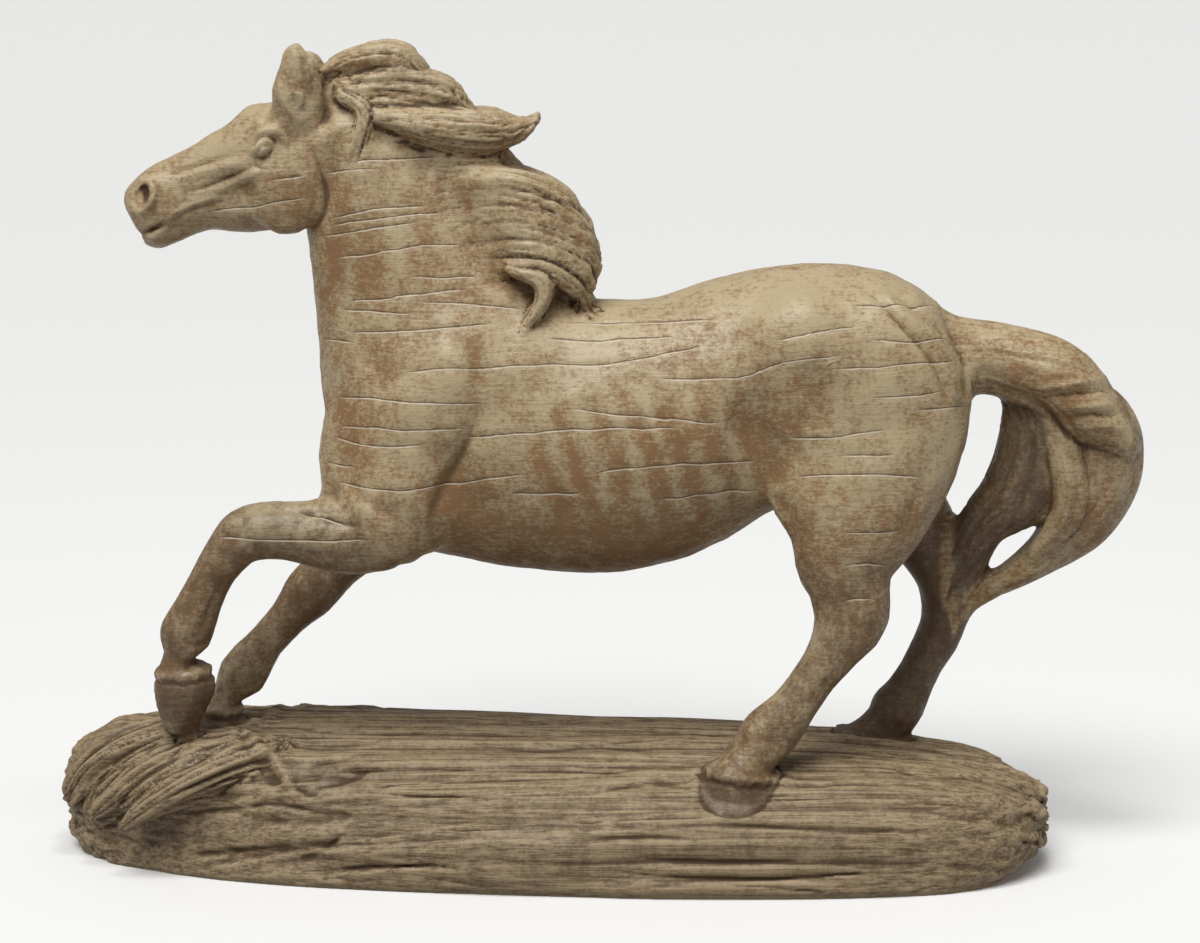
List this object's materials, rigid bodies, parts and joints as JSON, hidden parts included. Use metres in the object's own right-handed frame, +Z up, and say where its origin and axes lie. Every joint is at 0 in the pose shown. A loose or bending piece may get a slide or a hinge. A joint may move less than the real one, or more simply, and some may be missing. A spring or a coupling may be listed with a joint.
{
  "type": "horse figurine",
  "caption": "Galloping horse figurine with a wind-swept mane and sweeping tail, cast in one piece with the weathered log it runs over, made to stand on a shelf.",
  "frame": {"origin": "on the log's flat underside, below the middle of the figure's length", "axes": "+Z up, -X the way the horse runs, -Y its left side, which faces the viewer"},
  "size_m": [0.3856, 0.1108, 0.288],
  "materials": {
    "weathered_resin": "cast resin painted as weathered carved wood: brown wash in the recesses, pale tan dry-brushed over the high places, satin"
  },
  "bodies": {
    "root": {"horse_figurine": "weathered_resin"}
  },
  "joints": []
}
